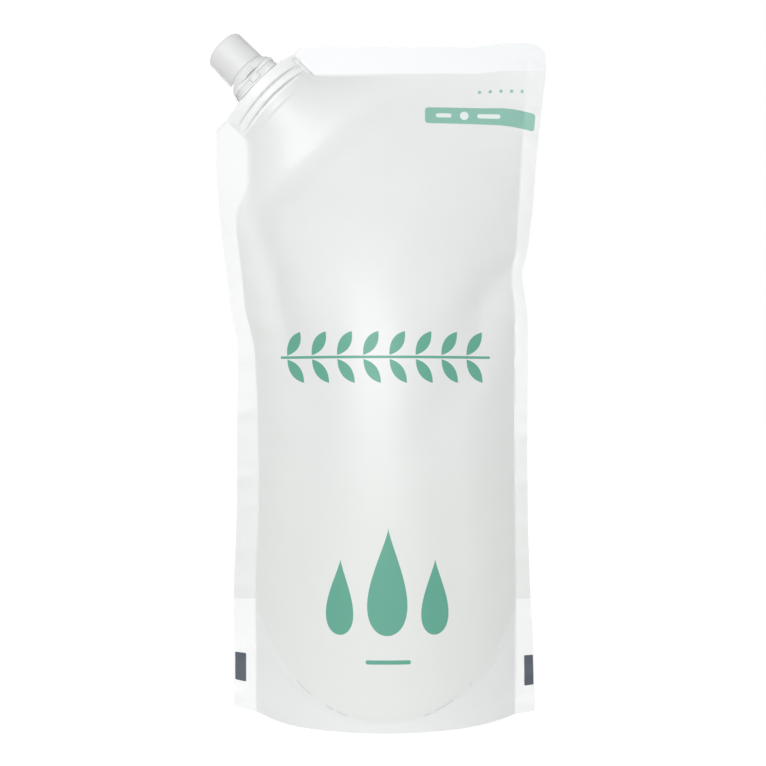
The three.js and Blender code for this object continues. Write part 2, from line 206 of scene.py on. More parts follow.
def ripples(x, z, edges, phase):
    """Short tension wrinkles that start at the side seals and fade into the bag."""
    total = np.zeros_like(x)
    for crease, shift in ((edges.inner_left, 0.0), (edges.inner_right, 2.1)):
        inward = np.abs(x - crease)
        wave = np.sin(z / 2.9 + 1.7 * np.sin(z / 13 + phase) + shift + inward / 7)
        wave += 0.7 * np.sin(z / 1.7 + 2.3 * np.sin(z / 19 + 2 * phase) + 3 * shift)
        total += RIPPLE_DEPTH * wave * (inward / RIPPLE_AT) * np.exp(1 - inward / RIPPLE_AT)
    return total


def film_half(x, z, side):
    """Half the bag's depth at points of its plane, on the front (side -1) or the back (side 1)."""
    edges = Edges(z)
    share = np.clip((x - edges.middle) / edges.reach, -1, 1)
    section = np.maximum(1 - np.abs(share) ** SECTION_SQUARENESS, 0) ** SECTION_FULLNESS
    along, out = from_spout(x, z)
    below = np.maximum(CANOE_BOTTOM - out, 0)
    opened = smooth(0, CUT_ACROSS, below)
    body = edges.half * section * opened
    near_seam = np.minimum(1, section * 2)
    folds = FRONT_FOLDS if side < 0 else BACK_FOLDS
    pressed = fold_depth(folds, x, z) * near_seam * opened
    pressed = pressed + ripples(x, z, edges, 0.4 if side < 0 else 2.9) * opened
    arc = SKIRT_HEIGHT + SKIRT_RADIUS - np.sqrt(np.maximum(SKIRT_RADIUS ** 2 - x ** 2, 0))
    skirt = 1 - smooth(PRESS_FROM, PRESS_TO, z - np.minimum(arc, GUSSET_HEIGHT))
    pressed = pressed + SEAL_PRESS * skirt * near_seam
    body = np.maximum(body - pressed, body * LEAST_BODY)
    reach = CANOE_REACH + WELD_FILM + below
    share_along = np.clip(np.abs(along) / reach, 0, 1)
    fade = 1 - smooth(FAN_START, FAN_END, below)
    fan = (CANOE_HALF + WELD_FILM - SEAM / 2) * (1 - share_along ** 2) * fade
    bow = RIB_BOW * np.minimum((along / CANOE_REACH) ** 2, 1.2)
    groove = sum(np.exp(-(((out - valley + bow) / RIB_WIDTH) ** 2)) for valley in RIB_VALLEYS)
    crests = [(out - valley + bow + RIDGE_BELOW) / RIDGE_WIDTH for valley in RIB_VALLEYS]
    ridge = sum(np.exp(-(crest ** 2)) for crest in crests)
    fan = fan + (RIDGE_HEIGHT * ridge - RIB_DEPTH * groove) * (1 - share_along ** 4)
    fan = fan - FAN_STEP * smooth(0, FAN_STEP_OVER, below) * (1 - share_along ** 2)
    beside = (np.abs(along) - reach + END_INSET) / END_WIDTH
    crease = END_CREASE * np.exp(-(beside ** 2)) * smooth(-17, -12, out)
    fan = np.maximum(fan, 0)
    joined = (body + fan + np.sqrt((body - fan) ** 2 + FAN_BLEND * body * fan)) / 2
    return joined + crease * (1 - smooth(-3, -1, out))


def sway(x, z):
    wave = np.sin(2 * math.pi * z / SWAY_PERIOD)
    held = 1 - smooth(CUT_FOOT - SWAY_FADE, CUT_FOOT, z)
    return SEAL_SWAY * np.abs(x / HALF_WIDTH) ** SWAY_POWER * wave * held


def lift(x, z):
    most = np.where(x < 0, CORNER_LIFTS[0], CORNER_LIFTS[1])
    beyond = np.maximum(np.abs(x) - LIFT_START, 0) / (HALF_WIDTH - LIFT_START)
    return most * beyond ** LIFT_POWER * (1 - smooth(0, GUSSET_HEIGHT, z))


def top_fall(x, z):
    """How far the top edge lies below a level line."""
    dip = TOP_DIP * (1 - smooth(*DIP_RIGHT, x)) * smooth(*DIP_LEFT, x)
    corner = CORNER_FALL * np.maximum(x - CORNER_FROM, 0) ** 2
    return dip * smooth(DIP_FOOT, BAG_HEIGHT, z) + corner * smooth(SEAL_LINE, BAG_HEIGHT, z)


def film_points(x, z, side, inside=0.0):
    """Points of the film's outer face, or as far inside it as told."""
    half = np.maximum(film_half(x, z, side) + SEAM / 2 - inside, LEAST_HALF)
    return np.stack([x, side * half + sway(x, z), z + lift(x, z) - top_fall(x, z)], axis=-1)


def steps(*runs):
    """Values along runs of (start, end, count), with shared ends written once."""
    parts = [np.linspace(start, end, count, endpoint=False) for start, end, count in runs]
    return np.concatenate([*parts, [runs[-1][1]]])


def cut_edge(z):
    """Where the cut corner's edge lies at heights z."""
    return -HALF_WIDTH + (z - CUT_FOOT) * math.tan(LEAN)


# The film's grid is finest left of FINE_RIGHT, and between FINE_FOOT and FINE_HEAD, round the weld.
# Its columns left of SQUEEZED_TO close up along the cut corner.
FINE_RIGHT = -24
PLAIN_RIGHT = 46
FINE_FOOT = 222
FINE_HEAD = 263
SQUEEZED_TO = -20


def film_grid():
    """x and z of the film's grid, which follows the cut corner, and its flat place across."""
    across = steps(
        (-HALF_WIDTH, -FLAT_HALF, 12), (-FLAT_HALF, FINE_RIGHT, 84), (FINE_RIGHT, PLAIN_RIGHT, 46),
        (PLAIN_RIGHT, FLAT_HALF, 16), (FLAT_HALF, HALF_WIDTH, 8),
    )
    up = steps(
        (0, GUSSET_HEIGHT, 34), (GUSSET_HEIGHT, FINE_FOOT, 104), (FINE_FOOT, FINE_HEAD, 116),
        (FINE_HEAD, BAG_HEIGHT, 7),
    )
    flat, z = np.meshgrid(across, up)
    edges = Edges(z)
    known = np.stack([edges.outer_left, edges.inner_left, edges.inner_right, edges.outer_right])
    share = flat / FLAT_HALF
    x = edges.middle + edges.reach * share
    left = flat < -FLAT_HALF
    right = flat > FLAT_HALF
    x = np.where(left, known[1] + (flat + FLAT_HALF) * (known[1] - known[0]) / SIDE_SEAL, x)
    x = np.where(right, known[2] + (flat - FLAT_HALF) * (known[3] - known[2]) / SIDE_SEAL, x)
    start = np.maximum(edges.outer_left, cut_edge(z))
    held = x[:, np.searchsorted(across, SQUEEZED_TO)][:, None]
    squeezed = start + (x - edges.outer_left) * (held - start) / (held - edges.outer_left)
    x = np.where(x < held, squeezed, x)
    flat = np.where(x < known[1], -FLAT_HALF + (x - known[1]) * SIDE_SEAL / (known[1] - known[0]), flat)
    inner = (x >= known[1]) & (x <= known[2])
    flat = np.where(inner, FLAT_HALF * (x - edges.middle) / edges.reach, flat)
    return x, z, flat


class Skin:
    """Vertices, four-sided faces and their places on the flat film."""

    def __init__(self):
        self.points = []
        self.faces = []
        self.places = []
        self.count = 0

    def add(self, points, places=None):
        """Adds points of any grid shape, and returns their numbers in that shape."""
        points = np.asarray(points)
        self.points.append(points.reshape(-1, 3))
        places = np.zeros(points.shape[:-1] + (2,)) if places is None else np.asarray(places)
        self.places.append(places.reshape(-1, 2))
        numbers = self.count + np.arange(points.shape[0] * (points.shape[1] if points.ndim > 2 else 1))
        self.count += len(numbers)
        return numbers.reshape(points.shape[:-1])

    def band(self, numbers, flip=False):
        """Faces over a grid of numbers."""
        a = numbers[:-1, :-1].ravel()
        b = numbers[:-1, 1:].ravel()
        c = numbers[1:, 1:].ravel()
        d = numbers[1:, :-1].ravel()
        self.faces.extend(zip(a, d, c, b) if flip else zip(a, b, c, d))

    def build(self, name, sharp=50):
        mesh = bpy.data.meshes.new(name)
        points = np.concatenate(self.points) * MM
        faces = [tuple(dict.fromkeys(int(n) for n in face)) for face in self.faces]
        faces = [face for face in faces if len(face) > 2]
        mesh.from_pydata(points.tolist(), [], faces)
        places = np.concatenate(self.places)
        corners = np.empty(len(mesh.loops), dtype=np.int32)
        mesh.loops.foreach_get("vertex_index", corners)
        layer = mesh.uv_layers.new(name="film")
        layer.uv.foreach_set("vector", places[corners].astype(np.float32).ravel())
        mesh.validate()
        mesh.polygons.foreach_set("use_smooth", [True] * len(mesh.polygons))
        mesh.set_sharp_from_angle(angle=math.radians(sharp))
        piece = bpy.data.objects.new(name, mesh)
        bpy.context.scene.collection.objects.link(piece)
        return piece


# The flat film's place on the unit square: the front to the left, the back to the right of it
FLAT_SCALE = 272.0
FRONT_AT = 0.25
BACK_AT = 0.75
FOOT_AT = 0.12
FOOT_SCALE = 0.86


def flat_place(flat, z, side):
    u = FRONT_AT + flat / FLAT_SCALE if side < 0 else BACK_AT - flat / FLAT_SCALE
    v = FOOT_AT + z / BAG_HEIGHT * FOOT_SCALE
    return np.stack([u, np.broadcast_to(v, u.shape)], axis=-1)


def gusset(skin, x, flat, front, back):
    """The folded base film and the insides of both skirts, joined to the skirts' bottom edges."""
    climb_steps = 6
    film_steps = 26
    share = flat / FLAT_HALF
    lines = []
    rise = SKIRT_RADIUS - np.sqrt(np.maximum(SKIRT_RADIUS ** 2 - (np.abs(share) * FLAT_HALF) ** 2, 0))
    seal = np.minimum(SKIRT_HEIGHT + rise, GUSSET_HEIGHT)
    film = -PAD_SINK + (GUSSET_HEIGHT + PAD_SINK) * np.abs(share) ** GUSSET_RISE
    hollow = np.abs(share) < HOLLOW_REACH

    def inside(side, part):
        z = seal * part
        level = Edges(z)
        at = level.middle + level.reach * share
        return film_points(at, z, side, inside=SEAM)

    climb = [k / climb_steps for k in range(climb_steps + 1)]
    fronts = [inside(-1, part) for part in climb]
    backs = [inside(1, part) for part in climb]
    lines.extend(fronts)
    for k in range(1, film_steps):
        span = -math.cos(math.pi * k / film_steps)
        point = fronts[-1] + (backs[-1] - fronts[-1]) * (span + 1) / 2
        height = film + (seal - film) * abs(span) ** 3
        point[:, 2] = np.maximum(height, 0) + lift(point[:, 0], height)
        lines.append(point)
    lines.extend(reversed(backs))
    grid = np.stack(lines)
    columns = np.flatnonzero(hollow)
    v = np.linspace(0.01, 0.1, len(lines))
    places = np.stack(np.meshgrid(FRONT_AT + flat[columns] / FLAT_SCALE, v), axis=-1)
    inner = skin.add(grid[:, columns], places)
    whole = np.concatenate([front[None, columns], inner, back[None, columns]])
    skin.band(whole, flip=True)
    for end in (slice(0, columns[0] + 1), slice(columns[-1], len(x))):
        skin.band(np.stack([front[end], back[end]]), flip=True)
    for column, number in ((0, 0), (-1, len(columns) - 1)):
        ring = [int(n) for n in whole[:, number]]
        centre = len(ring) // 2
        for k in range(centre):
            a, b, c, d = ring[k], ring[k + 1], ring[-k - 2], ring[-k - 1]
            skin.faces.append((a, b, c, d) if column == 0 else (d, c, b, a))


def pocket_points(x, z):
    """The film's rounded mouth round the spout: down inside the back layer, and up inside the front one."""
    outward = np.array([-math.cos(LEAN), 0, math.sin(LEAN)])
    rim = [(0.06, 0.22), (0.32, 0.26), (WELD_WALL, 0.0), (WELD_WALL, -POCKET_DEPTH)]
    rows = [[film_points(x, z, side, inside) + out * outward for inside, out in rim] for side in (1, -1)]
    return np.array([*rows[0], *reversed(rows[1])])


def pouch_film():
    x, z, flat = film_grid()
    skin = Skin()
    front = skin.add(film_points(x, z, -1), flat_place(flat, z, -1))
    back = skin.add(film_points(x, z, 1), flat_place(flat, z, 1))
    skin.band(front)
    skin.band(back, flip=True)
    cut = int(np.argmax(cut_edge(z[:, 0]) > x[:, 0] - 1e-6))
    pocket = skin.add(pocket_points(x[cut:, 0], z[cut:, 0]))
    rows = [back[cut:, 0], *pocket, front[cut:, 0]]
    skin.band(np.stack(rows, axis=1))
    skin.band(np.stack([back[:cut + 1, 0], front[:cut + 1, 0]], axis=1))
    for end in (0, -1):
        ring = [int(row[end]) for row in rows]
        skin.faces.append(tuple(ring if end else ring[::-1]))
    skin.band(np.stack([front[:, -1], back[:, -1]], axis=1))
    skin.band(np.stack([front[-1], back[-1]]))
    gusset(skin, x[0], flat[0], front[0], back[0])
    return skin.build("pouch_film")


# Materials

class Num:
    """A number that varies over a surface: the output of a shader node, or a plain number."""

    def __init__(self, tree, value):
        self.tree = tree
        self.value = value

    def op(self, operation, *others):
        node = self.tree.nodes.new("ShaderNodeMath")
        node.operation = operation
        for socket, value in zip(node.inputs, (self, *others)):
            value = value.value if isinstance(value, Num) else value
            if isinstance(value, (int, float)):
                socket.default_value = value
            else:
                self.tree.links.new(value, socket)
        return Num(self.tree, node.outputs[0])

    def __add__(self, other):
        return self.op("ADD", other)

    def __sub__(self, other):
        return self.op("SUBTRACT", other)

    def __mul__(self, other):
        return self.op("MULTIPLY", other)

    def __truediv__(self, other):
        return self.op("DIVIDE", other)

    def __abs__(self):
        return self.op("ABSOLUTE")

    def above(self, other):
        return self.op("GREATER_THAN", other)

    def below(self, other):
        return self.op("LESS_THAN", other)

    def at_least(self, other):
        return self.op("MAXIMUM", other)

    def at_most(self, other):
        return self.op("MINIMUM", other)


def new_material(name):
    material = bpy.data.materials.new(name)
    material.use_nodes = True
    tree = material.node_tree
    tree.nodes.clear()
    shader = tree.nodes.new("ShaderNodeBsdfPrincipled")
    output = tree.nodes.new("ShaderNodeOutputMaterial")
    tree.links.new(shader.outputs["BSDF"], output.inputs["Surface"])
    return material, tree, shader


def noise(tree, coordinates, scale, detail=3.0, roughness=0.5, stretch=None):
    if stretch:
        mapping = tree.nodes.new("ShaderNodeMapping")
        mapping.inputs["Scale"].default_value = stretch
        tree.links.new(coordinates, mapping.inputs["Vector"])
        coordinates = mapping.outputs["Vector"]
    node = tree.nodes.new("ShaderNodeTexNoise")
    node.inputs["Scale"].default_value = scale
    node.inputs["Detail"].default_value = detail
    node.inputs["Roughness"].default_value = roughness
    tree.links.new(coordinates, node.inputs["Vector"])
    return Num(tree, node.outputs["Fac"])


# A Mix node's two colour sockets
COLOUR_A, COLOUR_B = 6, 7


def mixed(tree, factor, low, high):
    """The colour low where the factor is 0 and high where it is 1."""
    node = tree.nodes.new("ShaderNodeMix")
    node.data_type = "RGBA"
    tree.links.new(factor.value, node.inputs["Factor"])
    for socket, colour in ((node.inputs[COLOUR_A], low), (node.inputs[COLOUR_B], high)):
        if isinstance(colour, tuple):
            socket.default_value = (*colour, 1)
        else:
            tree.links.new(colour, socket)
    return node.outputs[2]


def bumped(tree, shader, height, distance, strength=1.0):
    node = tree.nodes.new("ShaderNodeBump")
    node.inputs["Strength"].default_value = strength
    node.inputs["Distance"].default_value = distance
    tree.links.new(height.value, node.inputs["Height"])
    tree.links.new(node.outputs["Normal"], shader.inputs["Normal"])


def rounded_box(u, v, left, right, low, high, radius):
    """1 inside a level box with rounded corners, 0 outside."""
    du = (abs(u - (left + right) / 2) - ((right - left) / 2 - radius)).at_least(0)
    dv = (abs(v - (low + high) / 2) - ((high - low) / 2 - radius)).at_least(0)
    return (du * du + dv * dv).below(radius * radius)


def boxes(u, v, places):
    """1 inside any of some rounded boxes."""
    whole = rounded_box(u, v, *places[0])
    for place in places[1:]:
        whole = whole.at_least(rounded_box(u, v, *place))
    return whole


def drop(u, v, u0, foot, height, width):
    """1 inside a drop that stands on a round foot and comes to a point at the top."""
    t = ((v - foot) / height).at_least(0).at_most(1)
    half = t.op("SQRT") * (t * -1 + 1).op("POWER", 1.3) * (width * 1.16)
    return abs(u - u0).below(half) * t.above(0.001) * t.below(0.999)


def line(distance, half):
    """1 on a line, falling softly to 0 at three half widths from it."""
    return ((abs(distance) - half) / (2 * half) * -1 + 1).at_least(0).at_most(1)


def leaves(u, v, u0, v0, pitch, count, length, width, turn):
    """1 inside a row of leaves on both sides of a level stem."""
    cell = (u - u0) / pitch
    inside = cell.above(0) * cell.below(count)
    a = (cell.op("FRACT") - 0.5) * pitch
    b = abs(v - v0) - (length / 2 * math.sin(turn) + 0.8)
    along = a * math.cos(turn) + b * math.sin(turn)
    across = b * math.cos(turn) - a * math.sin(turn)
    lens = (along / (length / 2)).op("POWER", 2) * -1 + 1
    return abs(across).below(lens * (width / 2)) * inside


FILM_SHADE = (0.79, 0.805, 0.80)
FILM_PEARL = (0.84, 0.855, 0.85)
# The next colour is painted light: the paler, warmer tint of bounce light from the floor on the low film
FILM_BOUNCE_TINT = (0.845, 0.865, 0.83)
# The next colour is painted shade, for the creases of the rib valleys and of the curved bottom seal
CREASE_SHADE_GREY = (0.63, 0.65, 0.655)
SEAL_WHITE = (0.87, 0.89, 0.905)
SIDE_WHITE = (0.825, 0.84, 0.835)
WELD_WHITE = (0.93, 0.945, 0.95)
MINT = (0.12, 0.405, 0.30)
PALE_MINT = (0.255, 0.52, 0.43)
SLATE = (0.078, 0.098, 0.125)
CHIP = (0.80, 0.86, 0.85)

# Where the print lies on the flat film: left, right, low and high edges, and corner radius
BAND = (15.5, 62.5, 235.8, 242.8, 1.4)
CHIPS = (
    (20, 26.5, 238.4, 240.2, 0.9),
    (30, 33.6, 237.5, 241.1, 1.8),
    (37.2, 47, 238.4, 240.2, 0.9),
)
DOT = (-0.7, 0.7, 249.1, 250.5, 0.7)
STEM = (-45, 45.5, 143, 144, 0.5)
RULE = (-8.5, 10.5, 26.6, 28.2, 0.8)
MARKS = ((-64.5, -60.6, 11.5, 24.5, 0.4), (60.8, 64.6, 11.0, 24.0, 0.4))

BAND_BENDS_FROM = 46
BAND_BEND = 0.008
DOT_PITCH = 4.4
DOT_AT = 38
DOTS_FROM, DOTS_TO = 37, 56
LEAF_TURN = math.radians(52)
DROP_MIDDLE = 0.6
DROP_FOOT = 37.5
SIDE_DROP_AT = 20.0

# The top of the folded base film, the height below which the film is painted paler and warmer
# as bounce light from the floor, and how far from the middle the painted dashes of crease shade
# along the curved bottom seal lie
FOLD_LINE = 47.5
BOUNCE_TINT_FROM = 110
SMILE_FROM, SMILE_TO = 16, 38


def film_material():
    material, tree, shader = new_material("film")
    place = tree.nodes.new("ShaderNodeUVMap")
    place.uv_map = "film"
    split = tree.nodes.new("ShaderNodeSeparateXYZ")
    tree.links.new(place.outputs["UV"], split.inputs[0])
    u = (Num(tree, split.outputs["X"]) - FRONT_AT) * FLAT_SCALE
    v = (Num(tree, split.outputs["Y"]) - FOOT_AT) * (BAG_HEIGHT / FOOT_SCALE)
    coordinates = tree.nodes.new("ShaderNodeTexCoord").outputs["Object"]

    axes = tree.nodes.new("ShaderNodeSeparateXYZ")
    tree.links.new(coordinates, axes.inputs[0])
    dx = Num(tree, axes.outputs["X"]) * 1000 - SPOUT_X
    dz = Num(tree, axes.outputs["Z"]) * 1000 - SPOUT_Z
    along = dx * math.sin(LEAN) + dz * math.cos(LEAN)
    out = dx * -math.cos(LEAN) + dz * math.sin(LEAN)

    # Seals are whiter than the film that backs the gel, most of all where four layers meet
    across = abs((u - FLAT_SCALE / 4).op("PINGPONG", FLAT_SCALE / 2) - FLAT_SCALE / 4)
    side = across.above(FLAT_HALF)
    welded = out.above(WELD_LINE) * abs(along).below(CANOE_REACH + 0.9)
    thick = welded.at_least(side * v.below(FOLD_LINE))
    cloud = noise(tree, coordinates, 34, 3, 0.55)
    pearl = mixed(tree, cloud, FILM_SHADE, FILM_PEARL)
    # Painted bounce light from the floor: the film turns paler and warmer towards the bottom
    low = (v * -1 + BOUNCE_TINT_FROM) / BOUNCE_TINT_FROM
    ground = mixed(tree, low.at_least(0) * 0.5, pearl, FILM_BOUNCE_TINT)
    fall = (across * across * -1 + SKIRT_RADIUS ** 2).at_least(0).op("SQRT")
    arc = fall * -1 + (SKIRT_RADIUS + SKIRT_HEIGHT)
    skirt = ((arc - v) / 1.6 + 0.5).at_least(0).at_most(1) * v.below(GUSSET_HEIGHT)
    ground = mixed(tree, skirt * 0.6, ground, SEAL_WHITE)
    ground = mixed(tree, side, ground, SIDE_WHITE)
    ground = mixed(tree, v.above(SEAL_LINE), ground, SEAL_WHITE)
    ground = mixed(tree, thick, ground, WELD_WHITE)

    # Painted shade: the film is painted darker along the rib valleys of the weld, and in broken dashes along
    # the curved bottom seal, for the shade in those creases
    bow = (along * along) * (RIB_BOW / CANOE_REACH ** 2)
    lines = [line(out - valley + bow, 0.15) for valley in RIB_VALLEYS]
    within = ((abs(along) / (CANOE_REACH + 0.5)).op("POWER", 6) * -1 + 1).at_least(0)
    valley_lines = lines[0].at_least(lines[1]) * within
    broken = noise(tree, coordinates, 210, 2, 0.6).above(0.42)
    smile_shade = line(v - arc, 0.22) * broken * across.above(SMILE_FROM) * across.below(SMILE_TO)
    ground = mixed(tree, valley_lines.at_least(smile_shade * 0.5), ground, CREASE_SHADE_GREY)

    bend = (u - BAND_BENDS_FROM).at_least(0)
    level = v + bend * bend * BAND_BEND
    band = rounded_box(u, level, *BAND)
    chips = boxes(u, level, CHIPS)
    row = (u - DOT_AT).op("PINGPONG", DOT_PITCH / 2)
    dots = rounded_box(row, v, *DOT) * u.above(DOTS_FROM) * u.below(DOTS_TO)
    sprig = leaves(u, v, u0=-44, v0=143.5, pitch=11, count=8, length=11.5, width=4.6, turn=LEAF_TURN)
    stem = rounded_box(u, v, *STEM)
    tall = drop(u, v, DROP_MIDDLE, DROP_FOOT, height=41, width=21)
    short = drop(abs(u - DROP_MIDDLE), v, SIDE_DROP_AT, DROP_FOOT, height=29, width=14.5)
    rule = rounded_box(u, v, *RULE)
    mint = sprig.at_least(stem).at_least(tall.at_least(short)).at_least(rule)
    pale = band.at_least(dots)
    marks = boxes(u, v, MARKS)

    colour = mixed(tree, mint, ground, MINT)
    colour = mixed(tree, pale, colour, PALE_MINT)
    colour = mixed(tree, chips, colour, CHIP)
    colour = mixed(tree, marks, colour, SLATE)
    tree.links.new(colour, shader.inputs["Base Color"])

    printed = mint.at_least(pale).at_least(marks)
    grain = noise(tree, coordinates, 420, 2, 0.5)
    roughness = grain * 0.08 + 0.34 + printed * 0.06 - thick * 0.04
    tree.links.new(roughness.value, shader.inputs["Roughness"])
    shader.inputs["Specular IOR Level"].default_value = 0.5
    shader.inputs["Coat Weight"].default_value = 0.12
    shader.inputs["Coat Roughness"].default_value = 0.22
    crinkle = noise(tree, coordinates, 95, 4, 0.55, stretch=(1.0, 1.0, 0.55))
    bumped(tree, shader, crinkle + grain * 0.06 - valley_lines * 0.5, 0.0006, 0.35)
    return material


def plastic_material(name, colour, roughness, grain_scale):
    material, tree, shader = new_material(name)
    coordinates = tree.nodes.new("ShaderNodeTexCoord").outputs["Object"]
    cloud = noise(tree, coordinates, 160, 3, 0.5)
    darker = tuple(channel * 0.93 for channel in colour)
    tree.links.new(mixed(tree, cloud, darker, colour), shader.inputs["Base Color"])
    grain = noise(tree, coordinates, grain_scale, 2, 0.6)
    tree.links.new((grain * 0.12 + (roughness - 0.06)).value, shader.inputs["Roughness"])
    shader.inputs["Subsurface Weight"].default_value = 0.3
    shader.inputs["Subsurface Radius"].default_value = (1.0, 0.95, 0.9)
    shader.inputs["Subsurface Scale"].default_value = 0.0025
    bumped(tree, shader, grain, 0.0001, 0.3)
    return material


# The spout's pieces, turned about its axis: x along the cut corner, z out of the bag

def from_axis(points):
    """Points of the spout's own frame, in the bag's."""
    points = np.asarray(points, dtype=float)
    x, y, z = np.moveaxis(points, -1, 0)
    return np.stack([
        SPOUT_X + x * math.sin(LEAN) - z * math.cos(LEAN),
        y,
        SPOUT_Z + x * math.cos(LEAN) + z * math.sin(LEAN),
    ], axis=-1)


def softened(corners, bend, closed=True, count=4):
    """A profile with its corners rounded, each by its own third number if it has one."""
    made = []
    for k, corner in enumerate(corners):
        here = np.array(corner[:2], dtype=float)
        if not closed and k in (0, len(corners) - 1):
            made.append(here)
            continue
        before = np.array(corners[k - 1][:2], dtype=float) - here
        after = np.array(corners[(k + 1) % len(corners)][:2], dtype=float) - here
        reach = corner[2] if len(corner) > 2 else bend
        reach = min(reach, np.linalg.norm(before) / 2.05, np.linalg.norm(after) / 2.05)
        start = here + before / np.linalg.norm(before) * reach
        end = here + after / np.linalg.norm(after) * reach
        for t in np.linspace(0, 1, count + 1):
            made.append((1 - t) ** 2 * start + 2 * t * (1 - t) * here + t ** 2 * end)
    return made


def turned(name, profile, closed=True, around=112, sharp=40, deepest=99.0):
    """A profile of (radius, height) turned about the spout's axis, and pressed to a depth front and back."""
    skin = Skin()
    angles = np.linspace(0, 2 * math.pi, around, endpoint=False)
    rows = []
    for radius, height in profile:
        if radius < 1e-6:
            rows.append(np.repeat(skin.add(from_axis([[0, 0, height]])), around + 1))
            continue
        y = min(radius, deepest) * np.sin(angles)
        ring = np.stack([radius * np.cos(angles), y, np.full(around, height)], axis=-1)
        numbers = skin.add(from_axis(ring))
        rows.append(np.append(numbers, numbers[0]))
    if closed:
        rows.append(rows[0])
    skin.band(np.stack(rows))
    return skin.build(name, sharp)


def thread(name, radius, height, turns, foot, lead, half):
    """A helical ridge from a radius to a height off it, which runs out at both ends."""
    skin = Skin()
    count = int(turns * 72)
    t = np.linspace(0, 1, count + 1)
    angle = 2 * math.pi * turns * t
    swell = np.minimum(1, np.minimum(t, 1 - t) * turns * 5)
    level = foot + lead * turns * t
    sink = -0.25 * math.copysign(1, height)
    ring = [(sink, -1.0), (0, -1.0), (height, -0.45), (height, 0.45), (0, 1.0), (sink, 1.0)]
    rows = []
    for reach, side in ring:
        r = radius + (reach * swell if reach * height > 0 else reach)
        rows.append(np.stack([r * np.cos(angle), r * np.sin(angle), level + side * half], axis=-1))
    numbers = skin.add(from_axis(np.array(rows)))
    whole = np.concatenate([numbers, numbers[:1]])
    skin.band(whole, flip=height < 0)
    for end in (0, -1):
        face = [int(n) for n in numbers[:, end]]
        skin.faces.append(tuple(face if (end == 0) == (height > 0) else face[::-1]))
    return skin.build(name, 40)


def plate(name, half_x, half_y, corner, low, high, bend):
    """A plate with rounded corners across the spout's axis, its edges rounded by bend."""
    skin = Skin()
    turns = np.linspace(0, math.pi / 2, 9)
    quarters = ((1, 1, 0), (-1, 1, math.pi / 2), (-1, -1, math.pi), (1, -1, 1.5 * math.pi))
    rows = []
    for height, inset in ((low, bend), (low + bend * 0.3, bend * 0.3), (low + bend, 0), (high - bend, 0),
                          (high - bend * 0.3, bend * 0.3), (high, bend)):
        ring = []
        for sign_x, sign_y, start in quarters:
            for turn in turns + start:
                ring.append((
                    sign_x * (half_x - corner) + (corner - inset) * math.cos(turn),
                    sign_y * (half_y - corner) + (corner - inset) * math.sin(turn),
                    height,
                ))
        numbers = skin.add(from_axis(ring))
        rows.append(np.append(numbers, numbers[0]))
    skin.band(np.stack(rows))
    skin.faces.append(tuple(int(n) for n in rows[0][:-1][::-1]))
    skin.faces.append(tuple(int(n) for n in rows[-1][:-1]))
    return skin.build(name, 40)


def prism(name, outline, low, high, bend):
    """An outline in the spout's x and z, from y low to high, its high face's edge rounded by bend."""
    skin = Skin()
    outline = np.asarray(outline, dtype=float)
    centre = outline.mean(axis=0)
    reach = np.linalg.norm(outline - centre, axis=1).mean()
    way = 1 if high > low else -1
    levels = [(low, 0.0), (high - way * bend, 0.0), (high - way * bend * 0.3, bend * 0.3), (high, bend)]
    rows = []
    for y, inset in levels:
        flat = centre + (outline - centre) * (1 - inset / reach)
        ring = np.stack([flat[:, 0], np.full(len(flat), y), flat[:, 1]], axis=-1)
        numbers = skin.add(from_axis(ring))
        rows.append(np.append(numbers, numbers[0]))
    skin.band(np.stack(rows), flip=way > 0)
    for row in (rows[0], rows[-1]):
        face = [int(n) for n in row[:-1]]
        skin.faces.append(tuple(face if (row is rows[0]) == (way > 0) else face[::-1]))
    return skin.build(name, 40)


def arch(half, foot, crown):
    angles = np.linspace(0, math.pi, 13)
    curve = [(half * math.cos(a), crown - half + half * math.sin(a)) for a in angles]
    return [(half, foot), *curve, (-half, foot)]


# Corners of the turned profiles: radius, height along the axis, and how far each is rounded
BAND_CORNERS = (
    (6.9, 4.6), (7.3, 4.36), (10.3, 4.36, 0.3), (10.2, 5.9, 1.2), (8.75, 7.3, 0.8), (8.7, 7.86, 0.1),
    (7.55, 7.86), (7.55, 5.8), (6.9, 5.4),
)
CAP_CORNERS = (
    (0, 19.9), (7.5, 19.9, 0.5), (7.5, 7.93), (8.7, 7.93, 0.12), (8.64, 12, 1), (8.5, 21.4, 1.9),
    (0, 21.5),
)
EDGE_BEND = 0.15
BAND_DEPTH = 8.95
NECK_RADIUS = 6.3
CAP_BORE = 7.5
THREAD_LEAD = 4.0
LUG_HALF = 2.1
LUG_BEND = 0.3


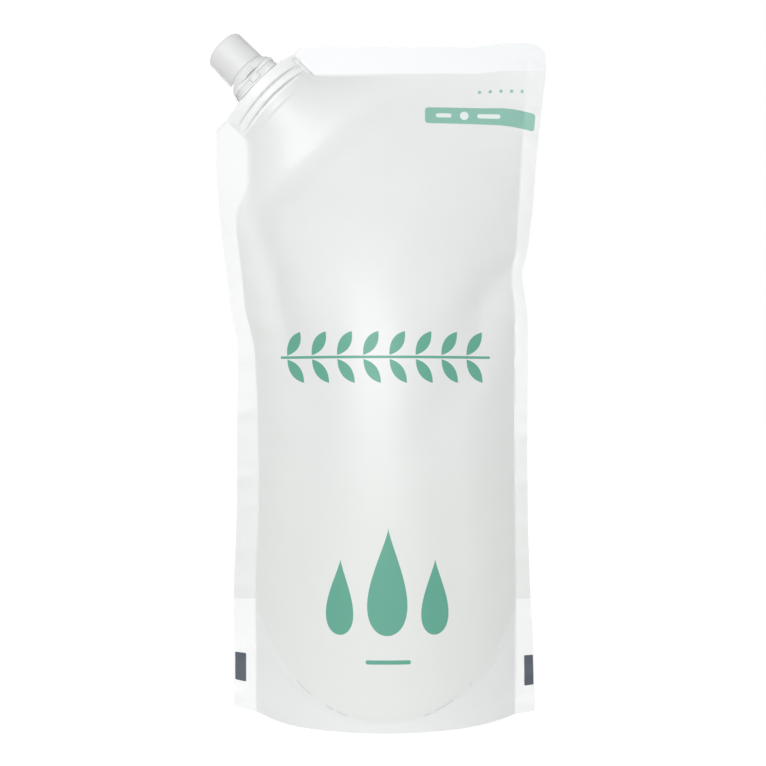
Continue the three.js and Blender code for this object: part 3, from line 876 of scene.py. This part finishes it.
def spout_pieces(plastic):
    band = turned("tamper_band_skin", softened(BAND_CORNERS, EDGE_BEND), deepest=BAND_DEPTH)
    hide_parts("tamper_band")
    cap_profile = softened(CAP_CORNERS, EDGE_BEND, closed=False, count=7)
    cap = turned("cap_skin", cap_profile, closed=False)
    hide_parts("cap")
    pack = [
        band,
        thread("neck_thread", NECK_RADIUS, height=0.5, turns=2.4, foot=8.2, lead=THREAD_LEAD, half=0.75),
        plate("collar_rib", half_x=10.05, half_y=7.4, corner=4.2, low=1.5, high=3.1, bend=0.05),
    ]
    for end, side in (("front", -1), ("back", 1)):
        foot = arch(LUG_HALF, 1.0, 4.33)
        head = arch(LUG_HALF, 4.4, 6.5)
        pack.append(prism(f"lug_foot_{end}", foot, side * 7.0, side * 8.1, LUG_BEND))
        pack.append(prism(f"lug_{end}", head, side * 8.5, side * 9.2, LUG_BEND))
    closure = [
        cap,
        thread("cap_thread", CAP_BORE, height=-0.5, turns=2.0, foot=9.4, lead=THREAD_LEAD, half=0.7),
    ]
    for piece in pack:
        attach(piece, "pack")
    for piece in closure:
        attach(piece, "closure")
    for piece in (*pack, *closure):
        piece.data.materials.append(plastic)


def dress(node, material):
    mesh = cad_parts[node].data
    mesh.materials.clear()
    mesh.materials.append(material)


# Studio

FLOOR_REACH = 3.0
FLOOR_PALE = (0.86, 0.86, 0.84, 1)
WHITE = (1, 1, 1, 1)

# The camera sees the floor mostly as plain white, and the rest is its own colour and shadow
FLOOR_SHARE = 0.8
FLOOR_GLOW = 1.18

# The sky's strength at the horizon and its fall towards the top, and what it is multiplied by:
# a share all round and one that is added from the front
SKY = 0.94
SKY_FALL = -0.46
SKY_SIDES = 0.66
SKY_FRONT = 0.5

# Name, place, size and energy
LAMPS = (
    ("key", (-0.24, -2.0, 0.3), 1.2, 17.6),
    ("back", (-1.1, 1.7, 0.6), 1.0, 15.0),
)
LAMPS_AIM = (0, 0, 0.13)
CAMERA_PLACE = (0.0004, -0.449, 0.1336)
LENS = 52.9


def studio():
    floor_mesh = bpy.data.meshes.new("floor")
    reach = FLOOR_REACH
    floor_mesh.from_pydata(
        [(-reach, -reach, 0), (reach, -reach, 0), (reach, reach, 0), (-reach, reach, 0)], [], [(0, 1, 2, 3)],
    )
    floor = bpy.data.objects.new("floor", floor_mesh)
    bpy.context.scene.collection.objects.link(floor)
    material = bpy.data.materials.new("floor")
    material.use_nodes = True
    tree = material.node_tree
    tree.nodes.clear()
    pale = tree.nodes.new("ShaderNodeBsdfDiffuse")
    pale.inputs["Color"].default_value = FLOOR_PALE
    white = tree.nodes.new("ShaderNodeEmission")
    white.inputs["Color"].default_value = WHITE
    white.inputs["Strength"].default_value = FLOOR_GLOW
    path = tree.nodes.new("ShaderNodeLightPath")
    seen = Num(tree, path.outputs["Is Camera Ray"]) * FLOOR_SHARE
    mix = tree.nodes.new("ShaderNodeMixShader")
    output = tree.nodes.new("ShaderNodeOutputMaterial")
    tree.links.new(seen.value, mix.inputs[0])
    tree.links.new(pale.outputs[0], mix.inputs[1])
    tree.links.new(white.outputs[0], mix.inputs[2])
    tree.links.new(mix.outputs[0], output.inputs["Surface"])
    floor_mesh.materials.append(material)

    world = bpy.data.worlds.new("studio")
    bpy.context.scene.world = world
    world.use_nodes = True
    tree = world.node_tree
    tree.nodes.clear()
    path = tree.nodes.new("ShaderNodeLightPath")
    direction = tree.nodes.new("ShaderNodeSeparateXYZ")
    tree.links.new(tree.nodes.new("ShaderNodeTexCoord").outputs["Generated"], direction.inputs[0])
    height = Num(tree, direction.outputs["Z"]).at_least(0)
    front = (Num(tree, direction.outputs["Y"]) * -1).at_least(0)
    strength = (height * SKY_FALL + SKY) * (front * SKY_FRONT + SKY_SIDES)
    background = tree.nodes.new("ShaderNodeBackground")
    background.inputs["Color"].default_value = WHITE
    tree.links.new(strength.value, background.inputs["Strength"])
    backdrop = tree.nodes.new("ShaderNodeBackground")
    backdrop.inputs["Color"].default_value = WHITE
    mix = tree.nodes.new("ShaderNodeMixShader")
    output = tree.nodes.new("ShaderNodeOutputWorld")
    tree.links.new(path.outputs["Is Camera Ray"], mix.inputs[0])
    tree.links.new(background.outputs[0], mix.inputs[1])
    tree.links.new(backdrop.outputs[0], mix.inputs[2])
    tree.links.new(mix.outputs[0], output.inputs["Surface"])

    for name, place, size, energy in LAMPS:
        lamp(name, place, size, energy)


def lamp(name, place, size, energy):
    data = bpy.data.lights.new(name, "AREA")
    data.shape = "DISK"
    data.size = size
    data.energy = energy
    light = bpy.data.objects.new(name, data)
    aim = Vector(LAMPS_AIM) - Vector(place)
    light.matrix_world = Matrix.Translation(place) @ aim.to_track_quat("-Z", "Y").to_matrix().to_4x4()
    bpy.context.scene.collection.objects.link(light)


def camera():
    data = bpy.data.cameras.new("camera")
    data.sensor_width = 36
    data.lens = LENS
    data.clip_start = 0.01
    view = bpy.data.objects.new("camera", data)
    view.location = CAMERA_PLACE
    view.rotation_euler = (math.pi / 2, 0, 0)
    bpy.context.scene.collection.objects.link(view)
    bpy.context.scene.camera = view


bpy.context.scene.view_settings.view_transform = "Standard"
camera()
studio()

film = pouch_film()
film.data.materials.append(film_material())
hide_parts("pouch")
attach(film, "pack")

natural = plastic_material("spout_plastic", (0.85, 0.86, 0.855), 0.42, 900)
foam = plastic_material("liner_foam", (0.86, 0.86, 0.84), 0.8, 1400)
dress("spout", natural)
dress("cap_liner", foam)
spout_pieces(natural)
